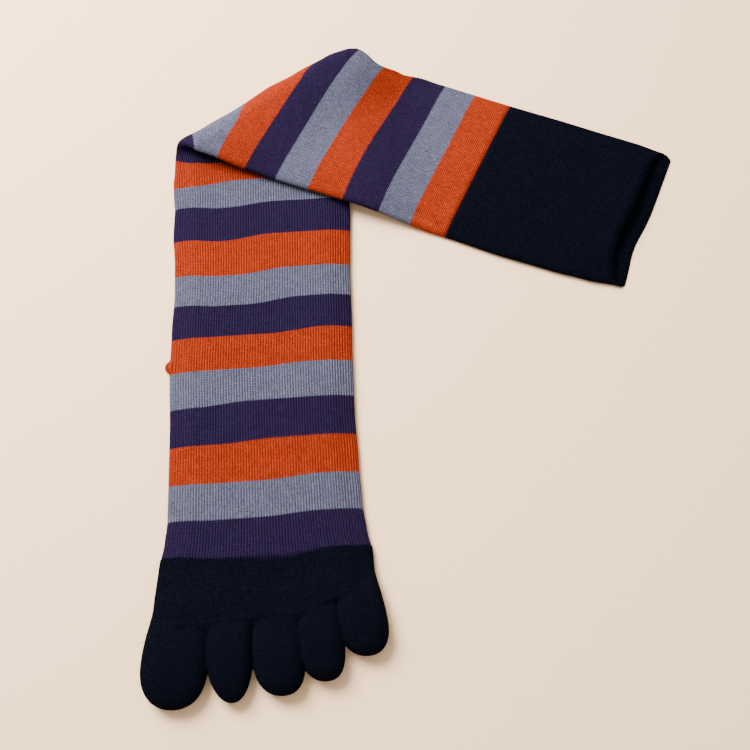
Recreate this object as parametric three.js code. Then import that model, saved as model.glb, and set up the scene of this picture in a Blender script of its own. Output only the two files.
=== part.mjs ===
// A knee-high toe sock, lying folded over once, toes towards the viewer.
// Millimetres, +Z up. X runs to the right, Y away from the viewer, and the sock lies on Z = 0.
// It is one knitted tube, pressed flat: five toe pockets, a plain toe section, a striped foot and
// leg, and a cuff with a double edge. The leg is rolled over along a slanting line and lies back
// across itself, then drops to the floor on the right.
import * as THREE from "three";

// Knit
const legWall = 1.2; // striped foot and leg
const toeWall = 1.4; // closer knit of the toe section and the toe pockets
const cuffWall = 1.6; // doubled edge band
const seam = 0.3; // clearance where two knitted parts meet

// Lengths along the sock
const stripePitch = 17.35;
const stripeCount = 21;
const foldGather = 20.9; // length of striped leg taken up by gathers in the roll
const toeSectionLength = 28.4; // stripes to the slit between the second and third toes
const toeReach = 31.5; // a slit to the tip of the big toe
const cuffLength = 85.4;
const mouthSetBack = 5; // the upper lip of the cuff ends this much before the lower lip

// Widths of the flattened tube, and its thickness
const legWidth = 82.4;
const toeSpread = 101.4;
const legLoft = 5.6;
const toeRootLoft = 8;
const toeLoft = 10;
const cuffLoft = 6.2;
const mouthLoft = 10; // the lips stand a little open

// How it lies
const footHeading = THREE.MathUtils.degToRad(92.5); // from the toes to the fold, from +X
const legHeading = THREE.MathUtils.degToRad(-20); // from the fold to the cuff
const foldStart = 217.6; // toe section to the start of the roll, along the middle
const rollRadiusNear = 7.6; // outer radius of the roll at the corner beside the foot
const rollRadiusFar = 9.4; // outer radius at the far corner, which stands up more
const layGap = 0.5; // folded-over leg above the foot part
const settle = 34; // length over which the leg sinks from the roll onto the foot part
const drape = 40; // length over which it drops from the foot part to the floor
const stripeTilt = THREE.MathUtils.degToRad(3.2); // the knit's rows lean a little
const mouthTilt = THREE.MathUtils.degToRad(1.2); // less so at the mouth of the cuff
const leanReach = 61.8; // length over which the rows turn to lie along the fold
const sideBulge = 0.4; // the toe section swells this much halfway along each side

// Section of a toe pocket. Its widest line lies at a share of its thickness, and the powers make
// it square where it leaves the toe section, rounder further out and flatter below.
const toeWidestLine = 0.45;
const rootPower = 0.42;
const toePower = 0.8;
const underPower = 1.6;
const fullShare = 0.5; // share of its length where it reaches its full width

// Slits between the toes, from the big toe's outer side to the little toe's outer side.
// across: share of half the toe spread; depth: share of the toe section's length.
const slits = [
  { across: -0.945, depth: 1.04 },
  { across: -0.456, depth: 1.04 },
  { across: -0.107, depth: 0.96 },
  { across: 0.262, depth: 0.96 },
  { across: 0.566, depth: 0.72 },
  { across: 0.92, depth: 0.54 },
];

// Toe pockets. Shares of half the toe spread: middle and half width at the widest place, and
// where the tip is. Shares of the toe reach, from the toe section's end: how far out both are.
const toes = [
  { name: "big_toe", middle: -0.736, half: 0.254, widest: 0.56, tip: -0.742, out: 1.02 },
  { name: "second_toe", middle: -0.284, half: 0.17, widest: 0.42, tip: -0.276, out: 0.966 },
  { name: "third_toe", middle: 0.097, half: 0.181, widest: 0.5, tip: 0.126, out: 0.902 },
  { name: "fourth_toe", middle: 0.458, half: 0.166, widest: 0.37, tip: 0.473, out: 0.752 },
  { name: "little_toe", middle: 0.818, half: 0.177, widest: 0.1, tip: 0.828, out: 0.444 },
];

// Sections of the striped tube. at: share of its laid length; left and right: shares of half the
// leg's width; loft: share of the leg's thickness. The ankle is where the heel is tucked under.
const tubeSections = [
  { at: 0, left: 1.085, right: 1.085, loft: 1 },
  { at: 0.024, left: 1.045, right: 1.04, loft: 1 },
  { at: 0.05, left: 1.01, right: 1.005, loft: 1 },
  { at: 0.1, left: 1.01, right: 0.99, loft: 1 },
  { at: 0.17, left: 1.02, right: 0.975, loft: 1.02 },
  { at: 0.225, left: 1.02, right: 0.975, loft: 1.12 },
  { at: 0.241, left: 1.03, right: 0.975, loft: 1.16 },
  { at: 0.25, left: 1.055, right: 0.98, loft: 0.92 },
  { at: 0.259, left: 1.04, right: 0.98, loft: 1.12 },
  { at: 0.275, left: 1.025, right: 0.985, loft: 1.06 },
  { at: 0.31, left: 1.035, right: 0.985, loft: 1 },
  { at: 0.38, left: 1.06, right: 0.98, loft: 1 },
  { at: 0.46, left: 1.065, right: 1, loft: 1 },
  { at: 0.54, left: 1.065, right: 0.98, loft: 1 },
  { at: 0.62, left: 1.03, right: 0.95, loft: 1 },
  { at: 0.7, left: 1, right: 0.955, loft: 1 },
  { at: 0.8, left: 1, right: 1, loft: 1 },
  { at: 0.9, left: 1, right: 1, loft: 1 },
  { at: 1, left: 1.01, right: 1, loft: 1 },
];

// Sections of the cuff, as above, with loft as a share of the way from the leg's to the mouth's.
const cuffSections = [
  { at: 0, left: 1.01, right: 1, loft: 0 },
  { at: 0.3, left: 1.02, right: 0.99, loft: 0.02 },
  { at: 0.6, left: 0.99, right: 0.98, loft: 0.25 },
  { at: 0.8, left: 0.96, right: 0.965, loft: 0.6 },
  { at: 1, left: 0.93, right: 0.945, loft: 1 },
];

// Fineness of the faceted surfaces: steps round a section, and shares of a length with a ring
const acrossSteps = 9;
const edgeSteps = 3;
const slitSteps = 3;
const rollSteps = 9;
const dropSteps = 4;
const toeSides = 18;
const cuffRings = [0, 0.15, 0.3, 0.45, 0.6, 0.72, 0.84, 0.93, 1];
const toeSectionRings = [0, 0.2, 0.4, 0.6, 0.8, 1];
const toeOuterRings = [0, 0.14, 0.3, 0.5, 0.64, 0.76, 0.87, 0.95, 1];
const toeInnerRings = [1, 0.94, 0.84, 0.7, 0.5, 0.2, 0];

// Worked out from the above
const stripesLength = stripePitch * stripeCount - foldGather;
const halfLeg = legWidth / 2;
const halfSpread = toeSpread / 2;
const foldLine = (footHeading + legHeading) / 2;
const along = new THREE.Vector2(Math.cos(footHeading), Math.sin(footHeading));
const across = new THREE.Vector2(along.y, -along.x);
const crease = new THREE.Vector2(Math.cos(foldLine), Math.sin(foldLine));
const beyond = new THREE.Vector2(-crease.y, crease.x);
const rollStart = foldStart * along.dot(beyond);
const nearCorner = foldStart * along.dot(crease) - halfLeg;
const farCorner = foldStart * along.dot(crease) + halfLeg;
const foldSlope = -across.dot(beyond) / along.dot(beyond); // rows parallel to the fold
const rowSlope = Math.tan(stripeTilt);
const meanRoll = (rollRadiusNear + rollRadiusFar) / 2 - legLoft / 2;
const rollEnd = foldStart + (Math.PI * meanRoll) / along.dot(beyond); // along the sock's middle

const { lerp, smoothstep } = THREE.MathUtils;

// A value between the rows of a table of sections, at a share of the length.
function between(table, at, column) {
  const next = table.findIndex((row) => row.at >= at);
  if (next < 0) return table[table.length - 1][column];
  if (next === 0) return table[0][column];
  const [a, b] = [table[next - 1], table[next]];
  return lerp(a[column], b[column], smoothstep(at, a.at, b.at));
}

// Outer radius of the roll at a place along the fold line.
function rollRadius(side) {
  return lerp(rollRadiusNear, rollRadiusFar, smoothstep(side, nearCorner, farCorner));
}

// Where a point of the flat tube lies once the leg is rolled over. s runs along the sock from the
// toe section, u across it, w up from the sole side, and loft is the tube's thickness there.
function lay(s, u, w, loft) {
  const flat = along.clone().multiplyScalar(s).addScaledVector(across, u);
  const past = flat.dot(beyond) - rollStart;
  if (past <= 0) return new THREE.Vector3(flat.x, flat.y, w);
  const side = flat.dot(crease);
  const radius = rollRadius(side);
  const middle = radius - legLoft / 2;
  const back = past - Math.PI * middle;
  const plan = crease.clone().multiplyScalar(side);
  if (back <= 0) {
    const turn = past / middle;
    plan.addScaledVector(beyond, rollStart + (radius - w) * Math.sin(turn));
    return new THREE.Vector3(plan.x, plan.y, radius - (radius - w) * Math.cos(turn));
  }
  plan.addScaledVector(beyond, rollStart - back);
  const onFoot = legLoft + layGap;
  const sinking = lerp(2 * radius - loft, onFoot, smoothstep(back, 0, settle));
  const clear = plan.dot(across) - halfLeg;
  const dropped = smoothstep(clear, 0, drape) * smoothstep(back, 0, settle);
  return new THREE.Vector3(plan.x, plan.y, sinking * (1 - dropped) + loft - w);
}

// A flattened loop across the tube: flat below and above, round at both edges. Each point has its
// place across (u), its height (w) and the tube's thickness (loft); inset gives the inner face.
function flatLoop(left, right, loft, inset) {
  const edge = loft / 2;
  const points = [];
  const run = (from, to, w) => {
    for (let i = 0; i <= acrossSteps; i++)
      points.push({ u: lerp(from, to, i / acrossSteps), w, loft });
  };
  const turn = (centre, start) => {
    for (let i = 1; i < edgeSteps + 1; i++) {
      const angle = start + (Math.PI * i) / (edgeSteps + 1);
      const reach = edge - inset;
      points.push({ u: centre + reach * Math.cos(angle), w: edge + reach * Math.sin(angle), loft });
    }
  };
  run(-left + edge, right - edge, inset);
  turn(right - edge, -Math.PI / 2);
  run(right - edge, -left + edge, loft - inset);
  turn(-left + edge, Math.PI / 2);
  return points;
}

// One closed skin from rings of points: outer rings, then inner rings back again. A ring of one
// point closes a tip; otherwise the last inner ring joins the first outer one.
function skin(rings) {
  const positions = [];
  const index = [];
  const starts = rings.map((ring) => {
    const start = positions.length / 3;
    ring.forEach((p) => positions.push(p.x, p.y, p.z));
    return start;
  });
  rings.forEach((ring, r) => {
    const other = (r + 1) % rings.length;
    const next = rings[other];
    if (ring.length === 1 && next.length === 1) return;
    const [a, b] = [starts[r], starts[other]];
    const count = Math.max(ring.length, next.length);
    for (let i = 0; i < count; i++) {
      const j = (i + 1) % count;
      if (ring.length === 1) index.push(a, b + j, b + i);
      else if (next.length === 1) index.push(a + i, a + j, b);
      else index.push(a + i, a + j, b + j, a + i, b + j, b + i);
    }
  });
  const geometry = new THREE.BufferGeometry();
  geometry.setAttribute("position", new THREE.Float32BufferAttribute(positions, 3));
  geometry.setIndex(index);
  geometry.computeVertexNormals();
  return geometry;
}

// An open tube from its ring function. The places run away from the toes: the outer rings are
// laid towards the toes and the inner ones back again, so that every face points out.
function openTube(ring, places, wall) {
  const towardsToes = [...places].reverse();
  return skin([
    ...towardsToes.map((place) => ring(place, 0)),
    ...places.map((place) => ring(place, wall)),
  ]);
}

// Rows of the striped tube, as distances along its middle, closer at the ankle and in the roll.
function tubeStations() {
  const before = tubeSections.map((row) => row.at * stripesLength);
  const stations = before.filter((s) => s < foldStart - settle / 2);
  stations.push(foldStart - settle / dropSteps);
  for (let i = 0; i <= rollSteps; i++) stations.push(lerp(foldStart, rollEnd, i / rollSteps));
  const restSteps = Math.ceil((stripesLength - rollEnd) / (drape / dropSteps));
  for (let i = 1; i <= restSteps; i++) stations.push(lerp(rollEnd, stripesLength, i / restSteps));
  return stations;
}

// How much a row leans: with the stripes away from the fold, along the fold in the roll.
function rowLean(s) {
  const near = smoothstep(s, foldStart - leanReach, foldStart - rollRadiusNear);
  const far = 1 - smoothstep(s, rollEnd + rollRadiusNear, rollEnd + leanReach);
  return lerp(rowSlope, foldSlope, s < foldStart ? near : far);
}

function stripedTube() {
  const ring = (s, inset) => {
    const at = s / stripesLength;
    const left = halfLeg * between(tubeSections, at, "left");
    const right = halfLeg * between(tubeSections, at, "right");
    const loft = legLoft * between(tubeSections, at, "loft");
    const lean = rowLean(s);
    return flatLoop(left, right, loft, inset).map((p) => lay(s + lean * p.u, p.u, p.w, loft));
  };
  return openTube(ring, tubeStations(), legWall);
}

function cuff() {
  const start = stripesLength + seam;
  const ring = (at, inset) => {
    const left = halfLeg * between(cuffSections, at, "left");
    const right = halfLeg * between(cuffSections, at, "right");
    const opened = between(cuffSections, at, "loft");
    const rise = lerp(cuffLoft, mouthLoft, opened);
    return flatLoop(left, right, legLoft, inset).map((p) => {
      const half = p.u < 0 ? left : right;
      const loft = lerp(legLoft, rise, 1 - (p.u / half) ** 2);
      const w = p.w < legLoft / 2 ? p.w : loft - (legLoft - p.w);
      const lip = mouthSetBack * at ** 4 * (1 - w / loft);
      const lean = lerp(rowSlope, Math.tan(mouthTilt), at);
      return lay(start + cuffLength * at - lip + lean * p.u, p.u, w, loft);
    });
  };
  return openTube(ring, cuffRings, cuffWall);
}

// The toe section ends on a line through the slits; each toe's root lies on the same line.
function slitPoint(k) {
  return { u: slits[k].across * halfSpread, s: -slits[k].depth * toeSectionLength };
}

// Places across the toe section that keep every slit: shares from its left to its right edge.
function toeSectionLoop(share, inset) {
  const loft = lerp(legLoft, toeRootLoft, share);
  const first = tubeSections[0];
  const backLeft = halfLeg * first.left;
  const backRight = halfLeg * first.right;
  const edge = loft / 2;
  const spots = [];
  const last = slits.length - 1;
  for (let k = 0; k < last; k++)
    for (let i = 0; i < slitSteps; i++) {
      const [a, b] = [slitPoint(k), slitPoint(k + 1)];
      const part = i / slitSteps;
      spots.push({ u: lerp(a.u, b.u, part), s: lerp(a.s, b.s, part) });
    }
  spots.push(slitPoint(last));
  const frontWidth = slitPoint(last).u - slitPoint(0).u;
  const place = (spot, w, out) => {
    const t = (spot.u - slitPoint(0).u) / frontWidth;
    const backU = lerp(-backLeft, backRight, t);
    const bulge = Math.sin(Math.PI * share) * sideBulge * (2 * t - 1);
    const u = lerp(backU, spot.u, share) + bulge;
    const squeeze = 1 - edge / (frontWidth / 2);
    const centre = lerp((backRight - backLeft) / 2, slitPoint(0).u + frontWidth / 2, share);
    const s = lerp(-seam + rowSlope * backU, spot.s, share);
    return lay(s, centre + (u - centre) * squeeze + out, w, loft);
  };
  const caps = (spot, start) => {
    const points = [];
    for (let i = 1; i < edgeSteps + 1; i++) {
      const angle = start + (Math.PI * i) / (edgeSteps + 1);
      const reach = edge - inset;
      points.push(place(spot, edge + reach * Math.sin(angle), reach * Math.cos(angle)));
    }
    return points;
  };
  return [
    ...spots.map((spot) => place(spot, inset, 0)),
    ...caps(spots[spots.length - 1], -Math.PI / 2),
    ...[...spots].reverse().map((spot) => place(spot, loft - inset, 0)),
    ...caps(spots[0], Math.PI / 2),
  ];
}

function toeSection() {
  return openTube(toeSectionLoop, [...toeSectionRings].reverse(), toeWall);
}

// A toe pocket: from its root between two slits it swells to its widest place, then rounds off.
function toePocket(toe, k) {
  const [a, b] = [slitPoint(k), slitPoint(k + 1)];
  const root = new THREE.Vector2((a.u + b.u) / 2, (a.s + b.s) / 2 - seam);
  const edgeLine = new THREE.Vector2(b.u - a.u, b.s - a.s);
  const rootHalf = edgeLine.length() / 2 - seam / 2;
  const outward = (share) => -toeSectionLength - share * toeReach;
  const widest = new THREE.Vector2(toe.middle * halfSpread, outward(toe.widest));
  const tip = new THREE.Vector2(toe.tip * halfSpread, outward(toe.out));
  const spine = new THREE.SplineCurve([root, widest, tip]);
  const ring = (share, inset) => {
    const round = Math.max(0, (share - fullShare) / (1 - fullShare));
    const swell = smoothstep(share, 0, fullShare);
    const closing = Math.sqrt(Math.max(0, 1 - round ** 2));
    const shrink = (size) => size * closing - inset * closing;
    const half = shrink(lerp(rootHalf, toe.half * halfSpread, swell));
    const loft = lerp(toeRootLoft, toeLoft, swell);
    const low = loft * toeWidestLine;
    const centre = spine.getPoint(share - (share === 1 ? inset / (2 * toeReach) : 0));
    const heading = spine.getTangent(share);
    const square = new THREE.Vector2(-heading.y, heading.x);
    const sideways = edgeLine.clone().normalize().lerp(square, swell).normalize();
    if (share === 1) return [lay(centre.y, centre.x, low, loft)];
    const power = lerp(rootPower, toePower, swell);
    const points = [];
    for (let i = 0; i < toeSides; i++) {
      const angle = (2 * Math.PI * i) / toeSides;
      const [c, n] = [Math.cos(angle), Math.sin(angle)];
      const out = half * Math.sign(c) * Math.abs(c) ** power;
      const tall = n > 0 ? shrink(loft - low) : shrink(low);
      const up = tall * Math.sign(n) * Math.abs(n) ** (n > 0 ? power : power / underPower);
      const spot = centre.clone().addScaledVector(sideways, out);
      points.push(lay(spot.y, spot.x, low + up, loft));
    }
    return points;
  };
  return skin([
    ...toeOuterRings.map((share) => ring(share, 0)),
    ...toeInnerRings.map((share) => ring(share, toeWall)),
  ]);
}

// Colours
const navy = { color: 0x14161f, roughness: 0.95, metalness: 0 };
const striped = { color: 0x7a86a0, roughness: 0.92, metalness: 0 };

const sock = new THREE.Group();

function add(name, geometry, finish) {
  const mesh = new THREE.Mesh(geometry, new THREE.MeshStandardMaterial(finish));
  mesh.name = name;
  sock.add(mesh);
}

toes.forEach((toe, k) => add(toe.name, toePocket(toe, k), navy));
add("toe_section", toeSection(), navy);
add("striped_leg", stripedTube(), striped);
add("cuff", cuff(), navy);

// The origin is the middle of the sock's footprint, on the floor.
const box = new THREE.Box3().setFromObject(sock);
const middle = box.getCenter(new THREE.Vector3());
sock.children.forEach((mesh) => mesh.geometry.translate(-middle.x, -middle.y, -box.min.z));

export default sock;
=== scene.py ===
# %% [markdown]
# # A knee-high toe sock
#
# This lesson dresses a toe sock that lies pressed flat and folded over once. Its real sizes are
# already fixed by a frame of plain solids, and each step here makes one knitted part over them.
# A sock is one long tube of loops, so almost everything below is the same idea used again: think
# of the tube laid flat and straight, shape it there, and lay the shape along its fold afterwards.

# %% Load the frame
import math

import bpy
import numpy as np
from mathutils import Matrix, Vector
from mathutils.bvhtree import BVHTree


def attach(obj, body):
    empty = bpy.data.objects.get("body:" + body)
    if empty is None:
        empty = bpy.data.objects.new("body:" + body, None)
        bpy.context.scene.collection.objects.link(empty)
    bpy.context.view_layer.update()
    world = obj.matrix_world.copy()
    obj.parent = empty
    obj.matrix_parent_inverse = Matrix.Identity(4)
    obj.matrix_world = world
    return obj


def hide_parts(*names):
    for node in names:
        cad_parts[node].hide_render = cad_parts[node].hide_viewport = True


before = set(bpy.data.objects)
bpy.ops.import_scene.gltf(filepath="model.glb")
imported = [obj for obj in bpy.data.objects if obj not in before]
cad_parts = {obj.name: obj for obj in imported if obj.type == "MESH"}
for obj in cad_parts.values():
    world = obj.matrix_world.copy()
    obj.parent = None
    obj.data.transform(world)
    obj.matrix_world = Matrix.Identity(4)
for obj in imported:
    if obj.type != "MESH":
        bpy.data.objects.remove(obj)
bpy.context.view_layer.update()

print("frame nodes:", sorted(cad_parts))

# %% [markdown]
# ## Sizes
#
# A knitter would note the width of the pressed tube, the height of one stripe and how the leg is
# turned back. These few numbers drive every later step. They are written in millimetres, because
# that is how a sock is measured, and turned into metres once.

# %% Sizes of the sock
mm = 0.001
leg_width = 82.4 * mm
leg_loft = 5.6 * mm
leg_wall = 1.2 * mm
cuff_wall = 1.9 * mm
stripe_pitch = 17.35 * mm
stripe_count = 21
fold_gather = 19.4 * mm
toe_section_length = 28.4 * mm
toe_reach = 31.5 * mm
toe_spread = 101.4 * mm
toe_root_loft = 8 * mm
toe_loft = 10 * mm
cuff_length = 84.9 * mm
cuff_loft = 6.2 * mm
mouth_loft = 7.8 * mm
mouth_set_back = 12 * mm
wales_per_face = 72

half_leg = leg_width / 2
half_spread = toe_spread / 2
stripes_length = stripe_pitch * stripe_count - fold_gather
print(f"one rib is {1000 * leg_width / wales_per_face:.2f} mm wide")

# %% [markdown]
# ## How the sock lies
#
# The foot points towards the viewer, and the leg is rolled over along a slanting line and lies
# back across itself. Cloth simulation could fold it, but a fold that has to match a known shape
# is easier to steer as a rule: everything past the fold line is carried round a roll, reflected
# and lowered onto whatever is below it. The rule bends space, so ribs and stripes follow by
# themselves. The roll isn't straight either: a small table lets it wander in and out along the
# fold, most of all at its near end, where the cloth stands up in an open loop.

# %% Directions and the roll
foot_heading = math.radians(92.5)
leg_heading = math.radians(-20)
fold_start = 217.6 * mm
roll_radius_near = 7.6 * mm
roll_radius_far = 9.4 * mm
lay_gap = 0.5 * mm
settle = 34 * mm
drape = 40 * mm
row_slope = math.tan(math.radians(5.2))
mouth_slope = math.tan(math.radians(2.6))
lean_reach = 61.8 * mm

fold_line = (foot_heading + leg_heading) / 2
along = np.array([math.cos(foot_heading), math.sin(foot_heading)])
across = np.array([along[1], -along[0]])
crease = np.array([math.cos(fold_line), math.sin(fold_line)])
beyond = np.array([-crease[1], crease[0]])
roll_start = fold_start * along.dot(beyond)
near_corner = fold_start * along.dot(crease) - half_leg
far_corner = fold_start * along.dot(crease) + half_leg
crease_length = far_corner - near_corner
fold_slope = -across.dot(beyond) / along.dot(beyond)
roll_wander = [
    {"at": 0, "out": 5 * mm},
    {"at": 0.16, "out": 2.6 * mm},
    {"at": 0.4, "out": 1.5 * mm},
    {"at": 0.6, "out": 1.8 * mm},
    {"at": 0.8, "out": -0.4 * mm},
    {"at": 1, "out": -2 * mm},
]
mean_roll = (roll_radius_near + roll_radius_far) / 2 - leg_loft / 2
roll_end = fold_start + math.pi * mean_roll / along.dot(beyond)


def lerp(a, b, t):
    return a + (b - a) * t


def smoothstep(x, low, high):
    t = np.clip((x - low) / (high - low), 0, 1)
    return t * t * (3 - 2 * t)


def between(table, at, column):
    """A smooth value between the rows of a table."""
    at = np.asarray(at, float)
    value = np.full(at.shape, float(table[0][column]))
    for a, b in zip(table, table[1:]):
        blend = lerp(a[column], b[column], smoothstep(at, a["at"], b["at"]))
        value = np.where(at > a["at"], blend, value)
    return value


def lay(s, u, w, loft):
    """Where a point of the flat tube lies: s along it, u across it, w up from the sole side."""
    x = along[0] * s + across[0] * u
    y = along[1] * s + across[1] * u
    past = x * beyond[0] + y * beyond[1] - roll_start
    side = x * crease[0] + y * crease[1]
    radius = lerp(roll_radius_near, roll_radius_far, smoothstep(side, near_corner, far_corner))
    middle = radius - leg_loft / 2
    back = past - math.pi * middle
    turn = np.clip(past / middle, 0, math.pi)
    wander = between(roll_wander, (side - near_corner) / crease_length, "out")
    on_roll = roll_start + (radius - w + wander) * np.sin(turn)
    on_roll_z = radius - (radius - w) * np.cos(turn)
    reach = np.where(back <= 0, on_roll, roll_start - back)
    plan_x = crease[0] * side + beyond[0] * reach
    plan_y = crease[1] * side + beyond[1] * reach
    sunk = smoothstep(back, 0, settle)
    sinking = lerp(2 * radius - loft, leg_loft + lay_gap, sunk)
    clear = plan_x * across[0] + plan_y * across[1] - half_leg
    dropped = smoothstep(clear, 0, drape) * sunk
    lying_z = sinking * (1 - dropped) + loft - w
    flat = past <= 0
    return np.stack([
        np.where(flat, x, plan_x),
        np.where(flat, y, plan_y),
        np.where(flat, w, np.where(back <= 0, on_roll_z, lying_z)),
    ], axis=-1)


print(f"the roll starts {1000 * fold_start:.0f} mm and ends {1000 * roll_end:.0f} mm up the leg")

# %% [markdown]
# ## The width of the tube
#
# The tube isn't a ruler: it widens to the toes, and bulges at the ankle where the heel is tucked
# under. A short table of sections, each a share of the tube's length, gives its left and right
# edge and its thickness, and a smooth blend fills in between. Past the fold the far side draws in,
# as cloth does when it is pulled round a corner. The rows lean a little, and turn to lie along the
# fold so that the mesh bends cleanly there.

# %% Sections of the tube
tube_sections = [
    {"at": 0, "left": 1.09, "right": 1.085, "loft": 1},
    {"at": 0.024, "left": 1.055, "right": 1.04, "loft": 1},
    {"at": 0.05, "left": 1.033, "right": 1.005, "loft": 1},
    {"at": 0.1, "left": 1.033, "right": 0.985, "loft": 1},
    {"at": 0.17, "left": 1.035, "right": 0.963, "loft": 1.03},
    {"at": 0.25, "left": 1.055, "right": 0.963, "loft": 1.045},
    {"at": 0.31, "left": 1.047, "right": 0.972, "loft": 1},
    {"at": 0.37, "left": 1.026, "right": 0.972, "loft": 1},
    {"at": 0.41, "left": 1.034, "right": 0.985, "loft": 1},
    {"at": 0.46, "left": 1.06, "right": 1, "loft": 1},
    {"at": 0.54, "left": 1.052, "right": 0.98, "loft": 1},
    {"at": 0.625, "left": 1.078, "right": 0.95, "loft": 1},
    {"at": 0.652, "left": 0.985, "right": 0.95, "loft": 1},
    {"at": 0.7, "left": 0.98, "right": 0.9, "loft": 1},
    {"at": 0.75, "left": 1, "right": 0.825, "loft": 1},
    {"at": 0.81, "left": 1.01, "right": 0.885, "loft": 1},
    {"at": 0.87, "left": 1.02, "right": 0.975, "loft": 1},
    {"at": 1, "left": 1.03, "right": 0.965, "loft": 1},
]
cuff_sections = [
    {"at": 0, "left": 1.03, "right": 0.965, "loft": 0},
    {"at": 0.3, "left": 1.045, "right": 0.97, "loft": 0.02},
    {"at": 0.6, "left": 1.03, "right": 0.965, "loft": 0.25},
    {"at": 0.8, "left": 1.005, "right": 0.965, "loft": 0.6},
    {"at": 1, "left": 0.955, "right": 0.945, "loft": 1},
]


def row_lean(s):
    near = smoothstep(s, fold_start - lean_reach, fold_start - roll_radius_near)
    far = 1 - smoothstep(s, roll_end + roll_radius_near, roll_end + lean_reach)
    return lerp(row_slope, fold_slope, np.where(s < fold_start, near, far))


print("ankle half width:", round(float(half_leg * between(tube_sections, 0.25, "left") * 1000), 1))

# %% [markdown]
# ## Where the stripes fall
#
# Each stripe is a band of rows in one yarn. Pressed flat, its edge isn't straight: the tube is
# twisted slightly, so an edge leans, steps up at one place across, and may curl up at the left
# side. So each edge below the fold has a place in stripe heights, the height and place of its step,
# and its curl. Above the fold each edge has a place and an even lean. The lean is largest beside
# the roll, which pulls the knit askew, and the first of these edges hooks round the near corner of
# the roll. Counting stripes along the tube gives one smooth number, the course, that the material
# turns into colour.

# %% Stripe edges
stripe_lean = 0.025
bend_width = 12 * mm
stripe_edges = [
    {"at": -0.21, "rise": 2 * mm, "bend": 0.44, "curl": 2 * mm},
    {"at": 0.87, "rise": 1.5 * mm, "bend": 0.27, "curl": 0.8 * mm},
    {"at": 1.8, "rise": 1.8 * mm, "bend": 0.29, "curl": 0.4 * mm},
    {"at": 2.82, "rise": 1.6 * mm, "bend": -0.2, "curl": 0.0},
    {"at": 3.84, "rise": 1.9 * mm, "bend": -0.46, "curl": 0.0},
    {"at": 4.85, "rise": 1.4 * mm, "bend": 0.15, "curl": 0.0},
    {"at": 5.8, "rise": 2.1 * mm, "bend": 0.36, "curl": 0.3 * mm},
    {"at": 6.68, "rise": 2.9 * mm, "bend": 0.1, "curl": 1.8 * mm},
    {"at": 7.58, "rise": 2.9 * mm, "bend": -0.02, "curl": 1.7 * mm},
    {"at": 8.66, "rise": 2.6 * mm, "bend": -0.2, "curl": 1.8 * mm},
    {"at": 9.7, "rise": 2 * mm, "bend": -0.17, "curl": 1.6 * mm},
    {"at": 10.34, "rise": 3.8 * mm, "bend": -0.63, "curl": 1.8 * mm},
    {"at": 11.13, "rise": 3.4 * mm, "bend": -0.4, "curl": 1.8 * mm},
]
hook_width = 14 * mm
hook_rise = 6.5 * mm
leaning_edges = [
    {"at": 12.22, "lean": 0.25},
    {"at": 13.16, "lean": 0.21},
    {"at": 14.15, "lean": 0.26},
    {"at": 15, "lean": 0.225},
    {"at": 15.92, "lean": 0.187},
    {"at": 16.84, "lean": 0.12},
    {"at": 17.87, "lean": 0.09},
    {"at": 18.79, "lean": 0.085},
]


def stripe_edge(k, u):
    """How far up the tube the top edge of stripe k lies, at a place across."""
    if k < len(stripe_edges):
        edge = stripe_edges[k]
        step = smoothstep(u - edge["bend"] * half_leg, -bend_width, bend_width)
        curl = edge["curl"] * smoothstep(-u, half_leg / 2, half_leg)
        return edge["at"] * stripe_pitch + stripe_lean * u + edge["rise"] * step + curl
    if k < stripe_count:
        edge = leaning_edges[k - len(stripe_edges)]
        at_corner = 1 - smoothstep(u, -half_leg, hook_width - half_leg)
        hook = hook_rise * at_corner if k == len(stripe_edges) else 0.0
        return edge["at"] * stripe_pitch + edge["lean"] * u + hook
    return stripes_length + row_slope * u


def course_at(s, u):
    """Stripes passed on the way up the tube."""
    edges = [stripe_edge(k, u) for k in range(stripe_count + 1)]
    return sum(np.clip((s - a) / (b - a), 0, 1) for a, b in zip(edges, edges[1:]))


at_fold = course_at(np.array(fold_start), np.array(0.0))
print("stripes at the fold's middle:", round(float(at_fold), 2))

# %% [markdown]
# ## A flattened tube of knit
#
# A rib is one column of loops, called a wale. Real ribs, not painted ones, catch the light at the
# edges. So the mesh has four points across each rib, on both faces, because each face is up on one
# side of the fold. The tube has an inner wall too, so it is cloth of a real thickness and not
# paper. The section is a stadium, and the face that is up slopes down to both edges.

# %% The section of the tube
samples_per_wale = 4
edge_pinch = 0.34
pinch_from = 0.72

below = np.linspace(0, 1, wales_per_face * samples_per_wale, endpoint=False)
above = 1 - below
column_place = np.concatenate([below, above])
column_side = np.concatenate([-np.ones(below.size), np.ones(above.size)])
column_wale = wales_per_face * np.where(column_side < 0, column_place, 2 - column_place)


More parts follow.
